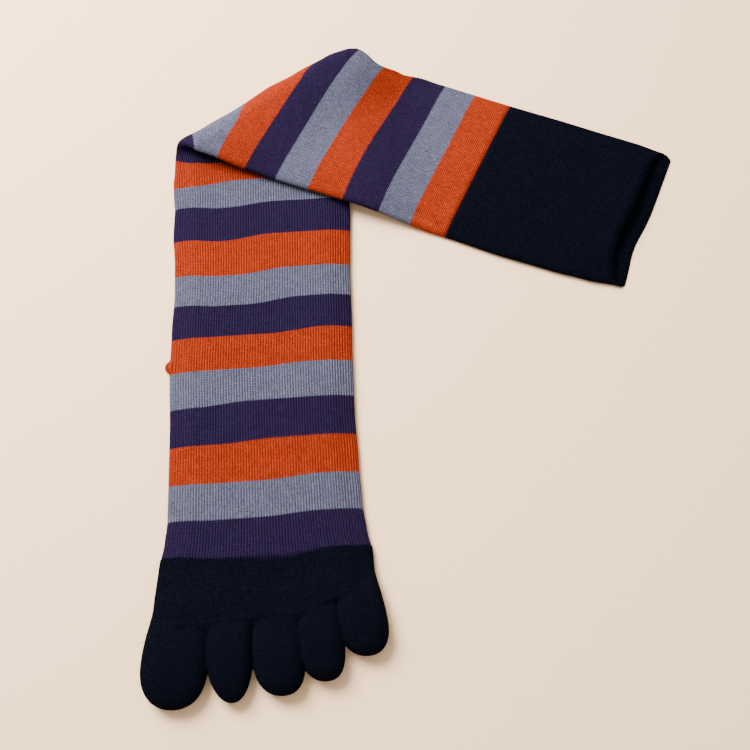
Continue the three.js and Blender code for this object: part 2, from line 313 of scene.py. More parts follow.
def section(left, right, loft, inset, turned):
    """Across (u) and height (w) of each column. Turned is 1 where the tube lies on its back."""
    left, right, loft = (np.asarray(v, float)[:, None] for v in (left, right, loft))
    edge = loft / 2
    straight = left + right - 2 * edge
    way = column_place[None, :] * (straight + math.pi * edge)
    quarter = math.pi * edge / 2
    left_turn = np.clip(way / edge, 0, math.pi / 2)
    right_turn = np.clip((way - quarter - straight) / edge, 0, math.pi / 2)
    reach = edge - inset
    u = -left + edge - reach * np.cos(left_turn)
    u = u + np.clip(way - quarter, 0, straight) + reach * np.sin(right_turn)
    out = np.where(way < quarter + straight, np.sin(left_turn), np.cos(right_turn))
    w = edge + column_side[None, :] * reach * out
    share = np.abs(np.where(u < 0, u / left, u / right))
    pinch = 1 - edge_pinch * smoothstep(share, pinch_from, 1)
    turned = np.asarray(turned, float)[:, None]
    w = lerp(w * pinch, loft - (loft - w) * pinch, turned)
    return u, w, loft * np.ones_like(u)


print("columns of points round the tube:", column_place.size)

# %% [markdown]
# ## From rows of points to a mesh
#
# One helper joins rows into a closed skin: outer rows up the tube and inner rows back again. It
# also writes a UV map that counts wales across and courses along, which lets the knit pattern
# follow the cloth wherever it goes.

# %% Joining rows
uv_wales = 2 * wales_per_face
uv_courses = 32


def in_scene(name, data):
    """A new object in the scene."""
    made = bpy.data.objects.new(name, data)
    bpy.context.scene.collection.objects.link(made)
    return made


def join_rows(name, rows, courses, relief):
    """A closed mesh from rows of laid points, with its knit map and its rib depth."""
    count, columns = rows.shape[:2]
    index = np.arange(count * columns).reshape(count, columns)
    a, b = index, np.roll(index, -1, axis=0)
    quads = np.stack([a, np.roll(a, -1, axis=1), np.roll(b, -1, axis=1), b], axis=-1)
    wale = np.broadcast_to(column_wale / uv_wales, (count, columns))
    wale_next = np.concatenate([wale[:, 1:], np.ones((count, 1))], axis=1)
    up, up_next = courses / uv_courses, np.roll(courses, -1, axis=0) / uv_courses
    right_up, right_up_next = np.roll(up, -1, axis=1), np.roll(up_next, -1, axis=1)
    corners = np.stack([
        np.stack([wale, up], -1), np.stack([wale_next, right_up], -1),
        np.stack([wale_next, right_up_next], -1), np.stack([wale, up_next], -1),
    ], axis=2)
    mesh = bpy.data.meshes.new(name)
    mesh.from_pydata(rows.reshape(-1, 3).tolist(), [], quads.reshape(-1, 4).tolist())
    mesh.uv_layers.new(name="Knit").data.foreach_set("uv", corners.astype(np.float32).ravel())
    wales = np.broadcast_to(column_wale, (count, columns))
    for label, values in (("wale", wales), ("relief", relief)):
        layer = mesh.attributes.new(label, "FLOAT", "POINT")
        layer.data.foreach_set("value", np.ascontiguousarray(values, dtype=np.float32).ravel())
    return in_scene(name, mesh)


def points_of(mesh):
    return np.array([v.co for v in mesh.vertices])


def face_outwards(piece):
    """Turns every face round if the mesh is inside out."""
    mesh = piece.data
    mesh.calc_loop_triangles()
    points = points_of(mesh)
    corners = np.array([t.vertices for t in mesh.loop_triangles])
    a, b, c = (points[corners[:, i]] for i in range(3))
    volume = np.einsum("ij,ij->i", a, np.cross(b, c)).sum() / 6
    if volume < 0:
        mesh.flip_normals()
    mesh.shade_smooth()


def triangles(piece):
    return sum(len(polygon.vertices) - 2 for polygon in piece.data.polygons)


print("the knit map counts", uv_wales, "wales and", uv_courses, "stripes to one unit")

# %% [markdown]
# ## Helpers for nodes
#
# A material and a tree of Geometry Nodes are both graphs, and wiring one in a script takes many
# lines. So a few helpers make a node, set it up and feed its inputs, and every tree below stays
# short. Colours are written as a screen shows them, because an eye judges them that way.

# %% Nodes, noise and colours
noise_low, noise_high = 0.3, 0.7


def feed(tree, socket, value):
    """Sets a plain value on a socket, or links another node's output to it."""
    if isinstance(value, (int, float, tuple, str)):
        socket.default_value = value
    else:
        tree.links.new(value, socket)


def node(tree, kind, feeds=(), **settings):
    """A new node with its settings, and with pairs that say what feeds which input."""
    made = tree.nodes.new(kind)
    for label, value in settings.items():
        setattr(made, label, value)
    for label, value in feeds:
        feed(tree, made.inputs[label], value)
    return made


def maths(tree, operation, *values):
    return node(tree, "ShaderNodeMath", enumerate(values), operation=operation).outputs[0]


def ranged(tree, value, low, high, to_low, to_high):
    """A value carried from one range to another."""
    numbers = enumerate((value, low, high, to_low, to_high))
    return node(tree, "ShaderNodeMapRange", numbers).outputs[0]


def noise(tree, place, scale, detail=2.0):
    feeds = (("Vector", place), ("Scale", scale), ("Detail", detail))
    return node(tree, "ShaderNodeTexNoise", feeds).outputs["Fac"]


def uneven(tree, place, scale, low, high, detail=2.0):
    """A number that wanders between low and high from place to place."""
    return ranged(tree, noise(tree, place, scale, detail), noise_low, noise_high, low, high)


def colour(red, green, blue):
    """A colour as a screen shows it, 0 to 255, turned into the linear numbers that nodes use."""
    def linear(v):
        v /= 255
        return v / 12.92 if v <= 0.04045 else ((v + 0.055) / 1.055) ** 2.4
    return (linear(red), linear(green), linear(blue), 1.0)


def tinted(tree, base, shade):
    """A colour made lighter or darker by a number. A mix node keeps its colours in 6 and 7."""
    grey = node(tree, "ShaderNodeCombineColor", enumerate([shade] * 3)).outputs[0]
    feeds = ((0, 1.0), (6, base), (7, grey))
    return node(tree, "ShaderNodeMix", feeds, data_type="RGBA", blend_type="MULTIPLY").outputs[2]


purple = colour(28, 18, 44)
blue_grey = colour(78, 79, 95)
orange = colour(132, 39, 14)
navy = colour(7.5, 9, 17)
stitch_yarn = colour(34, 34, 42)
print("orange in linear light:", [round(v, 3) for v in orange[:3]])

# %% [markdown]
# ## Yarn for the stripes
#
# Three yarns repeat up the leg: dark purple, blue-grey and burnt orange. The material reads the
# knit map, so an edge between two stripes follows the stitches, with the small jagged step that
# each column of loops makes there. Fine flecks and short streaks break up the colour, since spun
# yarn is never even. The light and shade of the ribs are also painted into the colour: painted
# shade darkens the hollows between ribs, where little light reaches, and a painted highlight
# lightens their crests, more strongly on the foot than past the fold.

# %% The knit materials
courses_per_stripe = 20
jag = 0.04
streaks_per_stripe = 4
bump_depth = 0.2 * mm
fibre_grain = 2600.0
fine_flecks = {"scale": 1500.0, "low": 0.65, "high": 1.35, "detail": 3.0}
wide_patches = {"scale": 260.0, "low": 0.92, "high": 1.08}
yarn_streaks = {"scale": 1.3, "low": 0.85, "high": 1.15}
navy_flecks = {"scale": 900.0, "low": 0.7, "high": 1.4, "detail": 3.0}
loose_flecks = {"scale": 500.0, "low": 0.6, "high": 1.5}
# Painted rib shade and highlight: the yarn colour is multiplied by the hollow number between ribs
# and by the crest number on their tops, blended from the foot's numbers to the leg's over these
# stripes.
painted_rib_light_changes_at = (12.0, 13.0)
painted_rib_light_on_foot = {"hollow": 0.28, "crest": 1.38}
painted_rib_light_on_leg = {"hollow": 0.76, "crest": 1.06}


def knit_coordinates(tree):
    """Wale and course numbers from the knit map, and the place on the object."""
    reader = node(tree, "ShaderNodeUVMap", uv_map="Knit").outputs[0]
    parts = node(tree, "ShaderNodeSeparateXYZ", [(0, reader)]).outputs
    wale = maths(tree, "MULTIPLY", parts[0], float(uv_wales))
    course = maths(tree, "MULTIPLY", parts[1], float(uv_courses))
    return wale, course, node(tree, "ShaderNodeTexCoord").outputs["Object"]


def streaky(tree, wale, course):
    """Uneven yarn: each rib is lighter or darker for a few millimetres at a time."""
    up = maths(tree, "MULTIPLY", course, float(streaks_per_stripe))
    joined = node(tree, "ShaderNodeCombineXYZ", [(0, wale), (1, up)]).outputs[0]
    return uneven(tree, joined, **yarn_streaks)


def crest(tree, wale):
    """One on the top of each rib and none in the hollows."""
    return maths(tree, "ABSOLUTE", maths(tree, "SINE", maths(tree, "MULTIPLY", wale, math.pi)))


def stitch_height(tree, wale, course):
    """Rows of V-shaped loops: each row dips towards the middle of its wale."""
    from_middle = maths(tree, "ABSOLUTE", maths(tree, "SUBTRACT", maths(tree, "FRACT", wale), 0.5))
    row = maths(tree, "MULTIPLY", course, float(courses_per_stripe))
    slanted = maths(tree, "ADD", row, from_middle)
    wave = maths(tree, "SINE", maths(tree, "MULTIPLY", slanted, 2 * math.pi))
    return maths(tree, "MULTIPLY", wave, crest(tree, wale))


def matt_material(name, roughness, specular):
    """A plain matt material, its tree and its shader."""
    material = bpy.data.materials.new(name)
    material.use_nodes = True
    tree = material.node_tree
    shader = tree.nodes["Principled BSDF"]
    shader.inputs["Roughness"].default_value = roughness
    shader.inputs["Specular IOR Level"].default_value = specular
    return material, tree, shader


def knit_material(name, roughness, specular):
    """A matt material with raised loops and fibres, and the numbers that its colour can use."""
    material, tree, shader = matt_material(name, roughness, specular)
    wale, course, place = knit_coordinates(tree)
    height = maths(tree, "ADD", stitch_height(tree, wale, course), noise(tree, place, fibre_grain))
    bump = node(tree, "ShaderNodeBump", [("Distance", bump_depth), ("Height", height)])
    feed(tree, shader.inputs["Normal"], bump.outputs[0])
    return material, tree, shader, (wale, course, place)


def yarn_colours(tree, course):
    """The three yarns in turn, one for each stripe."""
    third = maths(tree, "DIVIDE", maths(tree, "FLOORED_MODULO", course, 3.0), 3.0)
    made = node(tree, "ShaderNodeValToRGB", [(0, third)])
    ramp = made.color_ramp
    ramp.interpolation = "CONSTANT"
    ramp.elements[0].color = purple
    ramp.elements[1].position = 1 / 3
    ramp.elements[1].color = blue_grey
    ramp.elements.new(2 / 3).color = orange
    return made.outputs[0]


def striped_knit():
    material, tree, shader, (wale, course, place) = knit_material(
        "striped_knit", roughness=0.9, specular=0.04)
    jagged = maths(tree, "ADD", course, maths(tree, "MULTIPLY", crest(tree, wale), jag))
    fine = uneven(tree, place, **fine_flecks)
    patchy = uneven(tree, place, **wide_patches)
    streaks = streaky(tree, wale, course)
    flecks = maths(tree, "MULTIPLY", maths(tree, "MULTIPLY", fine, patchy), streaks)
    # Painted shade darkens the hollows between ribs, and a painted highlight lightens their crests.
    hollow, top = (
        ranged(tree, course, *painted_rib_light_changes_at, painted_rib_light_on_foot[k], painted_rib_light_on_leg[k])
        for k in ("hollow", "crest"))
    rise = maths(tree, "MULTIPLY", crest(tree, wale), maths(tree, "SUBTRACT", top, hollow))
    shade = maths(tree, "MULTIPLY", flecks, maths(tree, "ADD", hollow, rise))
    feed(tree, shader.inputs["Base Color"], tinted(tree, yarn_colours(tree, jagged), shade))
    return material


def navy_knit():
    material, tree, shader, (_, _, place) = knit_material(
        "navy_knit", roughness=0.95, specular=0.0)
    flecks = uneven(tree, place, **navy_flecks)
    feed(tree, shader.inputs["Base Color"], tinted(tree, navy, flecks))
    return material


def loose_yarn(name, base):
    """Single fibres and stitches: one yarn, a little uneven in colour."""
    material, tree, shader = matt_material(name, roughness=0.9, specular=0.05)
    place = node(tree, "ShaderNodeTexCoord").outputs["Object"]
    shade = uneven(tree, place, **loose_flecks)
    feed(tree, shader.inputs["Base Color"], tinted(tree, base, shade))
    return material


striped_material = striped_knit()
navy_material = navy_knit()
fibre_material = loose_yarn("navy_fibre", navy)
stitch_material = loose_yarn("navy_stitch", stitch_yarn)
print("materials:", [m.name for m in bpy.data.materials])

# %% [markdown]
# ## Raised ribs
#
# The ribs repeat round the whole tube, so a small tree of Geometry Nodes raises them: it reads
# which wale a point belongs to and sinks the points between two wales along the surface's normal.
# Sinking the hollows, and not lifting the ribs, keeps the sock's real outer size.

# %% The rib tree
rib_roundness = 0.6


def start_tree(name, numbers):
    """A new tree of Geometry Nodes, and what its named inputs bring in."""
    tree = bpy.data.node_groups.new(name, "GeometryNodeTree")
    tree.interface.new_socket("Geometry", in_out="INPUT", socket_type="NodeSocketGeometry")
    for label in numbers:
        tree.interface.new_socket(label, in_out="INPUT", socket_type="NodeSocketFloat")
    tree.interface.new_socket("Material", in_out="INPUT", socket_type="NodeSocketMaterial")
    tree.interface.new_socket("Geometry", in_out="OUTPUT", socket_type="NodeSocketGeometry")
    return tree, node(tree, "NodeGroupInput").outputs


def end_tree(tree, made, inputs):
    """Every tree ends alike: real geometry in the material that was asked for."""
    real = node(tree, "GeometryNodeRealizeInstances", [(0, made.outputs[0])])
    dressed = node(tree, "GeometryNodeSetMaterial", [
        ("Geometry", real.outputs[0]), ("Material", inputs["Material"])])
    node(tree, "NodeGroupOutput", [(0, dressed.outputs[0])])
    return tree


def stored(tree, label):
    """A number that the mesh keeps for each of its points."""
    feeds = [("Name", label)]
    return node(tree, "GeometryNodeInputNamedAttribute", feeds, data_type="FLOAT").outputs[0]


def rib_tree():
    tree, inputs = start_tree("Raised ribs", ("Roundness",))
    ridge = maths(tree, "POWER", crest(tree, stored(tree, "wale")), inputs["Roundness"])
    sunk = maths(tree, "MULTIPLY", maths(tree, "SUBTRACT", ridge, 1.0), stored(tree, "relief"))
    normal = node(tree, "GeometryNodeInputNormal").outputs[0]
    offset = node(tree, "ShaderNodeVectorMath", [(0, normal), ("Scale", sunk)], operation="SCALE")
    moved = node(tree, "GeometryNodeSetPosition", [
        ("Geometry", inputs["Geometry"]), ("Offset", offset.outputs[0])])
    return end_tree(tree, moved, inputs)


def keep_result(piece):
    """Turns the modifiers of a piece into its plain mesh."""
    graph = bpy.context.evaluated_depsgraph_get()
    made = bpy.data.meshes.new_from_object(
        piece.evaluated_get(graph), preserve_all_data_layers=True, depsgraph=graph)
    piece.modifiers.clear()
    piece.data = made
    made.name = piece.name


def grow(piece, tree, **values):
    """Runs a tree on a piece once and keeps the result as its plain mesh."""
    modifier = piece.modifiers.new(tree.name, "NODES")
    modifier.node_group = tree
    for item in tree.interface.items_tree:
        if item.in_out == "INPUT" and item.name in values:
            modifier[item.identifier] = values[item.name]
    keep_result(piece)
    piece.data.shade_smooth()


ribs = rib_tree()
print("rib tree nodes:", len(ribs.nodes))

# %% [markdown]
# ## The striped foot and leg
#
# One tube runs from the toe section to the cuff. Its ribs stand out most on the foot and lie
# flatter past the fold, where the knit is stretched. At the ankle the end of the heel's tuck stands
# out at the left edge as a small nub, and the whole face has slow swells, because pressed cloth is
# never flat.

# %% Build the striped tube
foot_relief = 0.5 * mm
leg_relief = 0.2 * mm
edge_relief = 0.3 * mm
calmer_from = fold_start * 0.85
flat_middle = 0.5
swell = 0.3 * mm
long_wave = {"along": 23 * mm, "across": 17 * mm, "twist": 41 * mm, "start": 1.3}
short_wave = {"across": 9 * mm, "twist": 31 * mm, "start": 0.7, "share": 0.5}
first_edge_blend = 30 * mm
nub_at = 86.6 * mm
nub_half = 2.6 * mm
nub_size = 2.3 * mm
nub_from = 0.93
nub_squareness = 4
outer_stretches = [
    {"to": 0.245, "rows": 31},
    {"to": 0.285, "rows": 14},
    {"to": fold_start / stripes_length, "rows": 44},
    {"to": roll_end / stripes_length, "rows": 22},
    {"to": 1, "rows": 37},
]
inner_stretches = [
    {"to": fold_start / stripes_length, "rows": 6},
    {"to": roll_end / stripes_length, "rows": 7},
    {"to": 1, "rows": 4},
]


def row_stations(stretches):
    """Places of the rows along the tube, closer together where it bends."""
    stations, start = [], 0.0
    for stretch in stretches:
        stations.append(np.linspace(start, stretch["to"], stretch["rows"], endpoint=False))
        start = stretch["to"]
    return stripes_length * np.append(np.concatenate(stations), 1.0)


def swells(s, u):
    """Slow unevenness of pressed cloth."""
    a, b = long_wave, short_wave
    slow = np.sin(s / a["along"] + a["start"]) * np.cos(u / a["across"] + s / a["twist"])
    quick = np.sin(u / b["across"] - s / b["twist"] + b["start"])
    return swell * (slow + b["share"] * quick)


def striped_rows(stations, inset):
    at = stations / stripes_length
    left = half_leg * between(tube_sections, at, "left")
    right = half_leg * between(tube_sections, at, "right")
    loft = leg_loft * between(tube_sections, at, "loft")
    turned = smoothstep(stations, fold_start, roll_end)
    u, w, loft = section(left, right, loft, inset, turned)
    s = stations[:, None] + row_lean(stations)[:, None] * u
    at_edge = smoothstep(-u / left[:, None], nub_from, 1)
    u = u - nub_size * at_edge * np.exp(-((s - nub_at) / nub_half) ** nub_squareness)
    first = stripe_edge(0, u)
    s = lerp(stations[:, None] + first, s, smoothstep(stations[:, None], 0, first_edge_blend))
    middle = 1 - smoothstep(np.abs(u) / half_leg, flat_middle, 1)
    upper_face = np.where(column_side > 0, 1 - turned[:, None], -turned[:, None])
    w = w + upper_face * swells(s, u) * middle
    return lay(s, u, w, loft), course_at(s, u), s, middle


def build_striped_leg():
    outer, outer_course, outer_s, middle = striped_rows(row_stations(outer_stretches), 0.0)
    inner, inner_course, _, _ = striped_rows(row_stations(inner_stretches), leg_wall)
    depth = lerp(foot_relief, leg_relief, smoothstep(outer_s, calmer_from, roll_end))
    depth = np.maximum(depth, edge_relief * (1 - middle))
    return join_rows(
        "striped_leg_knit",
        np.concatenate([outer, inner[::-1]]),
        np.concatenate([outer_course, inner_course[::-1]]),
        np.concatenate([depth, np.zeros(inner.shape[:2])]))


striped_leg = build_striped_leg()
face_outwards(striped_leg)
grow(striped_leg, ribs, Roundness=rib_roundness, Material=striped_material)
print("striped leg:", triangles(striped_leg), "triangles")

# %% [markdown]
# ## The cuff
#
# The cuff is knitted plain, then turned in and stitched down, so its edge is double and round.
# Its two lips stand a little apart, and the upper one ends short of the lower one, which is what
# shows the dark mouth. The same tube is used with its own table, and the rounded hem is a half
# circle of rows from the outer wall to the inner one.

# %% Build the cuff
cuff_rows = 56
hem_rows = 6
cuff_relief = 0.1 * mm
mouth_steepness = 4
mouth_dip = 2 * mm
dip_at = -17 * mm
dip_half = 13 * mm


def cuff_row_points(at, inset, beyond_edge):
    left = half_leg * between(cuff_sections, at, "left")
    right = half_leg * between(cuff_sections, at, "right")
    opened = between(cuff_sections, at, "loft")[:, None]
    u, w, _ = section(left, right, np.full(at.shape, leg_loft), inset, np.ones(at.shape))
    half = np.where(u < 0, left[:, None], right[:, None])
    rise = lerp(cuff_loft, mouth_loft, opened)
    loft = lerp(leg_loft, rise, 1 - np.clip(np.abs(u) / half, 0, 1) ** 2)
    w = np.where(w < leg_loft / 2, w, loft - (leg_loft - w))
    dip = mouth_dip * np.exp(-((u - dip_at) / dip_half) ** 2)
    lip = (mouth_set_back * (1 - w / loft) + dip) * at[:, None] ** mouth_steepness
    lean = lerp(row_slope, mouth_slope, at)[:, None]
    s = stripes_length + cuff_length * at[:, None] - lip + lean * u + beyond_edge[:, None]
    return lay(s, u, w, loft), s


def build_cuff():
    shares = np.linspace(0, 1, cuff_rows)
    none = np.zeros(cuff_rows)
    outer, outer_s = cuff_row_points(shares, 0.0, none)
    inner, inner_s = cuff_row_points(shares[::-1], cuff_wall, none)
    hem = []
    for turn in np.linspace(0, math.pi, hem_rows + 2)[1:-1]:
        inset = cuff_wall / 2 * (1 - math.cos(turn))
        out = np.array([cuff_wall / 2 * math.sin(turn)])
        hem.append(cuff_row_points(np.array([1.0]), inset, out))
    rows = np.concatenate([outer] + [h[0] for h in hem] + [inner])
    places = np.concatenate([outer_s] + [h[1] for h in hem] + [inner_s])
    relief = np.full(rows.shape[:2], cuff_relief)
    return join_rows("cuff_knit", rows, places / stripe_pitch, relief)


cuff = build_cuff()
face_outwards(cuff)
grow(cuff, ribs, Roundness=rib_roundness, Material=navy_material)
print("cuff:", triangles(cuff), "triangles")

# %% [markdown]
# ## The toe section and its five pockets
#
# Each toe has its own pocket, knitted on to the toe section. Modelled one by one they would meet
# in hard seams, while the real ones flow out of the section like fingers of a glove. So each
# pocket is made as a closed form, all six forms are joined, and a voxel remesh wraps one skin
# round them. A few rounds of smoothing then soften the roots between two toes.

# %% Tables of the toes
slits = [
    {"across": -0.945, "depth": 1.04},
    {"across": -0.456, "depth": 1.04},
    {"across": -0.107, "depth": 0.96},
    {"across": 0.262, "depth": 0.96},
    {"across": 0.566, "depth": 0.72},
    {"across": 0.9, "depth": 0.54},
]
toes = [
    {"name": "big_toe", "middle": -0.74, "half": 0.266, "widest": 0.56,
     "tip": -0.742, "out": 1.085},
    {"name": "second_toe", "middle": -0.299, "half": 0.184, "widest": 0.42,
     "tip": -0.276, "out": 1.03},
    {"name": "third_toe", "middle": 0.095, "half": 0.207, "widest": 0.5,
     "tip": 0.126, "out": 0.97},
    {"name": "fourth_toe", "middle": 0.442, "half": 0.182, "widest": 0.37,
     "tip": 0.473, "out": 0.815},
    {"name": "little_toe", "middle": 0.782, "half": 0.2, "widest": 0.1,
     "tip": 0.808, "out": 0.52},
]
toe_sides = 64
toe_rings = 40
ring_crowding = 1.5
root_overlap = 7 * mm
hidden_root_loft = 5.4 * mm
hidden_root_share = 0.9
toe_widest_line = 0.45
root_squareness = 0.42
toe_squareness = 0.8
sole_flatness = 1.6
section_rings = 24
front_rings = 8
section_reach = 3.5 * mm
section_front_loft = 4.5 * mm
tuck_under = 1.5 * mm

slit_points = np.array([
    (slit["across"] * half_spread, -slit["depth"] * toe_section_length) for slit in slits])


def toe_place(sideways, out):
    """A place in front of the toe section, in shares of the toes' spread and reach."""
    return np.array([sideways * half_spread, -toe_section_length - out * toe_reach])


def toe_spine(root, widest, tip, share):
    """A smooth line through the root, the widest place and the tip of a toe."""
    t = share[:, None]
    return root * (1 - 2 * t) * (1 - t) + widest * 4 * t * (1 - t) + tip * t * (2 * t - 1)


def toe_form(toe, k):
    """Rings of one closed toe pocket, root first."""
    a, b = slit_points[k], slit_points[k + 1]
    root = (a + b) / 2 + np.array([0.0, root_overlap])
    root_half = np.linalg.norm(b - a) / 2
    widest = toe_place(toe["middle"], toe["widest"])
    tip = toe_place(toe["tip"], toe["out"])
    share = 1 - (1 - np.linspace(0, 1, toe_rings)) ** ring_crowding
    centre = toe_spine(root, widest, tip, share)
    round_off = np.clip(2 * share - 1, 0, 1)
    closing = np.sqrt(np.clip(1 - round_off ** 2, 0, 1))
    swelling = np.sin(np.clip(2 * share, 0, 1) * math.pi / 2)
    half = lerp(hidden_root_share * root_half, toe["half"] * half_spread, swelling) * closing
    loft = lerp(hidden_root_loft, toe_loft, swelling)
    low = loft * toe_widest_line
    angle = np.linspace(0, 2 * math.pi, toe_sides, endpoint=False)[None, :]
    c, n = np.cos(angle), np.sin(angle)
    power = lerp(root_squareness, toe_squareness, swelling)[:, None]
    out = half[:, None] * np.sign(c) * np.abs(c) ** power
    tall = np.where(n > 0, (loft - low)[:, None], low[:, None]) * closing[:, None]
    up = tall * np.sign(n) * np.abs(n) ** np.where(n > 0, power, power / sole_flatness)
    slope = (b - a) / np.linalg.norm(b - a)
    sideways = lerp(slope[None, :], np.array([[1.0, 0.0]]), swelling[:, None])
    u = centre[:, :1] + sideways[:, :1] * out
    s = centre[:, 1:] + sideways[:, 1:] * out
    return lay(s, u, low[:, None] + up, loft[:, None] * np.ones_like(u))


def toe_section_form():
    """Rings of the closed toe section, from the slits back into the striped foot."""
    first = tube_sections[0]
    front = np.append(np.linspace(1, 0, front_rings, endpoint=False), np.zeros(section_rings))
    share = np.append(np.ones(front_rings), np.linspace(1, 0, section_rings))
    front_u, front_s = slit_points.T
    loft = lerp(leg_loft, toe_root_loft, smoothstep(share, 0, 1))
    loft = lerp(loft, section_front_loft, front ** 2)
    left = lerp(half_leg * first["left"], -front_u[0], share) - section_reach * front ** 2
    right = lerp(half_leg * first["right"], front_u[-1], share) - section_reach * front ** 2
    u, w, loft = section(left, right, loft, 0.0, np.zeros(share.size))
    t = (u + left[:, None]) / (left + right)[:, None]
    ends = np.interp(t * (front_u[-1] - front_u[0]) + front_u[0], front_u, front_s)
    s = lerp(stripe_edge(0, u) + tuck_under, ends, share[:, None]) - section_reach * front[:, None]
    return lay(s, u, w + (toe_root_loft - loft) / 2 * front[:, None], loft)


print("toe pockets:", [toe["name"] for toe in toes])

# %% Wrap one skin round the toes
toe_voxel = 0.42 * mm
smoothing_strength = 0.5
smoothing_rounds = 6
root_smoothing_rounds = 40
smoothing_loss = 0.25 * mm
roots_from, roots_full, roots_to = -12 * mm, -6 * mm, 4 * mm


def closed_form(rings):
    """Points and faces of a closed form: rings joined, and both ends capped."""
    count, sides = rings.shape[:2]
    index = np.arange(count * sides).reshape(count, sides)
    quads = np.stack([
        index[:-1], np.roll(index, -1, axis=1)[:-1], np.roll(index, -1, axis=1)[1:], index[1:],
    ], axis=-1).reshape(-1, 4).tolist()
    return rings.reshape(-1, 3), quads + [index[0][::-1].tolist(), index[-1].tolist()]


def soften(piece, rounds, group):
    smooth = piece.modifiers.new("Soften", "SMOOTH")
    smooth.factor = smoothing_strength
    smooth.iterations = rounds
    smooth.vertex_group = group


def root_line(u):
    """How far out the roots of the toes lie, at places across."""
    return np.interp(u, slit_points[:, 0], slit_points[:, 1])


def flat_places(piece):
    """Where the points of a piece lie on the flat foot: across it and along it."""
    points = points_of(piece.data)
    return (points[:, 0] * way[0] + points[:, 1] * way[1] for way in (across, along))


def root_weights(piece):
    """One at the roots of the toes, falling to none a little behind and in front of them."""
    u, s = flat_places(piece)
    ahead = root_line(u) - s
    return smoothstep(ahead, roots_from, roots_full) * (1 - smoothstep(ahead, 0, roots_to))


def restore_size(piece):
    """Moves the skin back out by what smoothing took, but never into the floor."""
    mesh = piece.data
    normals = np.array([v.normal for v in mesh.vertices])
    normals[:, 2] = np.maximum(normals[:, 2], 0)
    mesh.vertices.foreach_set("co", (points_of(mesh) + smoothing_loss * normals).ravel())
    mesh.update()


def build_toes():
    points, faces, start = [], [], 0
    for rings in [toe_section_form()] + [toe_form(toe, k) for k, toe in enumerate(toes)]:
        more_points, more_faces = closed_form(rings)
        points.append(more_points)
        faces += [[start + i for i in face] for face in more_faces]
        start += len(more_points)
    mesh = bpy.data.meshes.new("toes_knit")
    mesh.from_pydata(np.concatenate(points).tolist(), [], faces)
    piece = in_scene("toes_knit", mesh)
    wrap = piece.modifiers.new("Wrap", "REMESH")
    wrap.mode = "VOXEL"
    wrap.voxel_size = toe_voxel
    keep_result(piece)
    roots = piece.vertex_groups.new(name="roots")
    for index, weight in enumerate(root_weights(piece)):
        roots.add([index], float(weight), "REPLACE")
    soften(piece, root_smoothing_rounds, "roots")
    soften(piece, smoothing_rounds, "")
    keep_result(piece)
    piece.vertex_groups.clear()
    return piece


def map_toes(piece):
    """A knit map seen from above: wales run out along the toes and courses across them."""
    mesh = piece.data
    corner = np.zeros(len(mesh.loops), dtype=np.int32)
    mesh.loops.foreach_get("vertex_index", corner)
    u, s = flat_places(piece)
    wale = u / (leg_width / wales_per_face) / uv_wales + 0.5
    course = s / stripe_pitch / uv_courses + 0.5
    uv = np.stack([wale, course], axis=-1)[corner]
    mesh.uv_layers.new(name="Knit").data.foreach_set("uv", uv.astype(np.float32).ravel())
    mesh.materials.append(navy_material)


toes_piece = build_toes()
face_outwards(toes_piece)
restore_size(toes_piece)
map_toes(toes_piece)
print("toes:", triangles(toes_piece), "triangles")

# %% [markdown]
# ## Loose fibres
#
# Brushed yarn is never smooth: thousands of single fibres stand off the plain knit and blur its
# outline against the floor. They follow the surface and differ only in place, turn and length, so
# Geometry Nodes scatters one curved hair. The seed is fixed, so the fuzz is the same every time.
# The underside gets none, because the floor presses it flat.

# %% Scatter the fibres
fibre_length = 1.7 * mm
fibre_thickness = 0.05 * mm
toe_fibres = 450000.0
cuff_fibres = 220000.0
fibre_seed = 7
fibre_tilt = 0.9
shortest_fibre = 0.35
least_upward = 0.2
hair_detail = 3
hair_points = [("Start", (0, 0, -0.1)), ("Middle", (0, 0, 0.6)), ("End", (0.5, 0.1, 0.8))]


def curved_hair(tree, inputs):
    """A bent hair about one unit long, in a few steps and with a few sides."""
    few = [("Resolution", hair_detail)]
    line = node(tree, "GeometryNodeCurveQuadraticBezier", few + hair_points)
    slim = maths(tree, "DIVIDE", inputs["Thickness"], inputs["Length"])
    ring = node(tree, "GeometryNodeCurvePrimitiveCircle", few + [("Radius", slim)])
    return node(tree, "GeometryNodeCurveToMesh", [
        ("Curve", line.outputs[0]), ("Profile Curve", ring.outputs[0]), ("Fill Caps", True),
    ]).outputs[0]


def fibre_tree():
    tree, inputs = start_tree("Loose fibres", ("Density", "Length", "Thickness"))
    normal = node(tree, "GeometryNodeInputNormal").outputs[0]
    parts = node(tree, "ShaderNodeSeparateXYZ", [(0, normal)]).outputs
    scatter = node(tree, "GeometryNodeDistributePointsOnFaces", [
        ("Mesh", inputs["Geometry"]), ("Density", inputs["Density"]), ("Seed", fibre_seed),
        ("Selection", maths(tree, "GREATER_THAN", parts[2], least_upward))]).outputs
    turn = node(tree, "FunctionNodeRandomValue", [
        (0, (-fibre_tilt, -fibre_tilt, 0)), (1, (fibre_tilt, fibre_tilt, 2 * math.pi)),
    ], data_type="FLOAT_VECTOR").outputs[0]
    turned = node(tree, "FunctionNodeRotateRotation", [
        ("Rotation", scatter["Rotation"]), ("Rotate By", turn)], rotation_space="LOCAL")
    share = node(tree, "FunctionNodeRandomValue", [
        (2, shortest_fibre), (3, 1.0)], data_type="FLOAT").outputs[1]
    placed = node(tree, "GeometryNodeInstanceOnPoints", [
        ("Points", scatter["Points"]), ("Instance", curved_hair(tree, inputs)),
        ("Rotation", turned.outputs[0]),
        ("Scale", maths(tree, "MULTIPLY", share, inputs["Length"]))])
    return end_tree(tree, placed, inputs)


